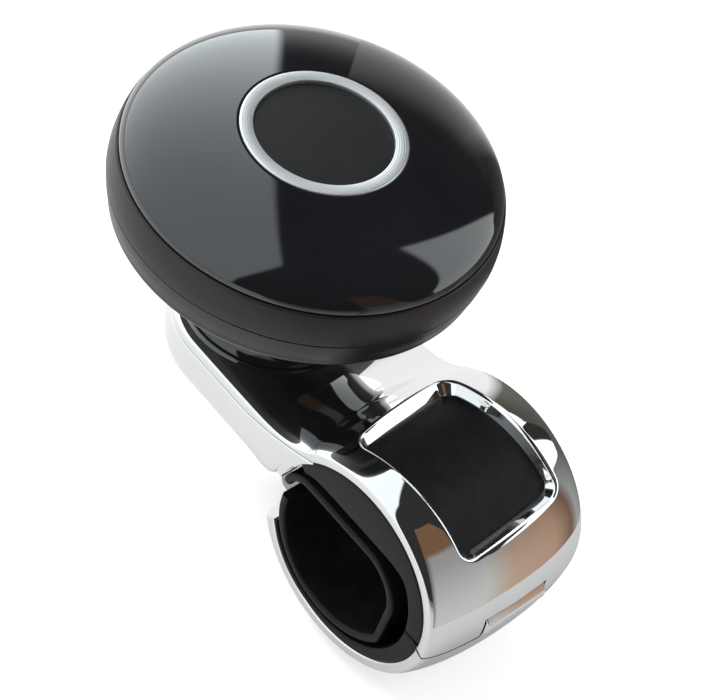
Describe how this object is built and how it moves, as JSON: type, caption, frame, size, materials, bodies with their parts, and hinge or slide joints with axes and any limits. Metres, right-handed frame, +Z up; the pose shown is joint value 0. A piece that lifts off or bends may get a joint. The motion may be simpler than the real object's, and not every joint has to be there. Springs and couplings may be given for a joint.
{
  "type": "steering wheel spinner knob",
  "caption": "Round spinner knob that turns freely on a bearing, over an arm that ends in a hinged clamp ring for a steering wheel rim.",
  "frame": {"origin": "centre of the clamp ring, on the axis of the steering wheel rim that it grips", "axes": "+Y along the ring's axis, which is the wheel rim's direction; +Z up to the knob, along the knob's turning axis; the knob stands on the -X side"},
  "size_m": [0.0886, 0.058, 0.0665],
  "materials": {
    "chrome": "polished",
    "gloss_black": "gloss",
    "satin_black": "satin",
    "disc_black": "satin",
    "accent": "bright turned",
    "rubber": "soft satin",
    "band_black": "matte",
    "steel": "machined",
    "bearing_steel": "ground",
    "brass_cage": "pressed"
  },
  "bodies": {
    "clamp": {"clamp_body": "chrome", "arm_cover": "chrome", "cover_screws": "steel", "inner_band": "band_black", "upper_liner": "rubber", "neck_collar": "gloss_black", "spindle": "steel", "spindle_washer": "steel", "spindle_nut": "steel", "clamp_nut": "steel", "hinge_pin": "steel", "bearing_inner": "bearing_steel", "bearing_spacer": "steel", "lock_nut": "steel"},
    "jaw": {"jaw_shell": "chrome", "jaw_band": "band_black", "jaw_liner": "rubber", "adaptor_sleeve": "rubber"},
    "bolt": {"clamp_bolt": "steel", "bolt_clip": "steel"},
    "knob": {"knob_cap": "gloss_black", "knob_skirt": "satin_black", "accent_ring": "accent", "centre_disc": "disc_black", "knob_screws": "steel", "bearing_outer": "bearing_steel", "bearing_shields": "steel"},
    "cage": {"bearing_balls": "bearing_steel", "bearing_cage": "brass_cage"}
  },
  "joints": [
    {"name": "knob_spin", "type": "hinge", "parent": "clamp", "child": "knob", "pos_m": [-0.039, 0, 0.034], "axis": [0, 0, 1], "continuous": true},
    {"name": "cage_spin", "type": "hinge", "parent": "clamp", "child": "cage", "pos_m": [-0.039, 0, 0.034], "axis": [0, 0, 1], "continuous": true},
    {"name": "jaw_hinge", "type": "hinge", "parent": "clamp", "child": "jaw", "pos_m": [0.018, 0, 0.0012], "axis": [0, -1, 0], "range_deg": [0, 70]},
    {"name": "bolt_travel", "type": "slide", "parent": "jaw", "child": "bolt", "axis": [0, 0, 1], "range_m": [0, 0.0036]}
  ],
  "couplings": [
    {"joint": "cage_spin", "follows": "knob_spin", "ratio": 0.632}
  ]
}
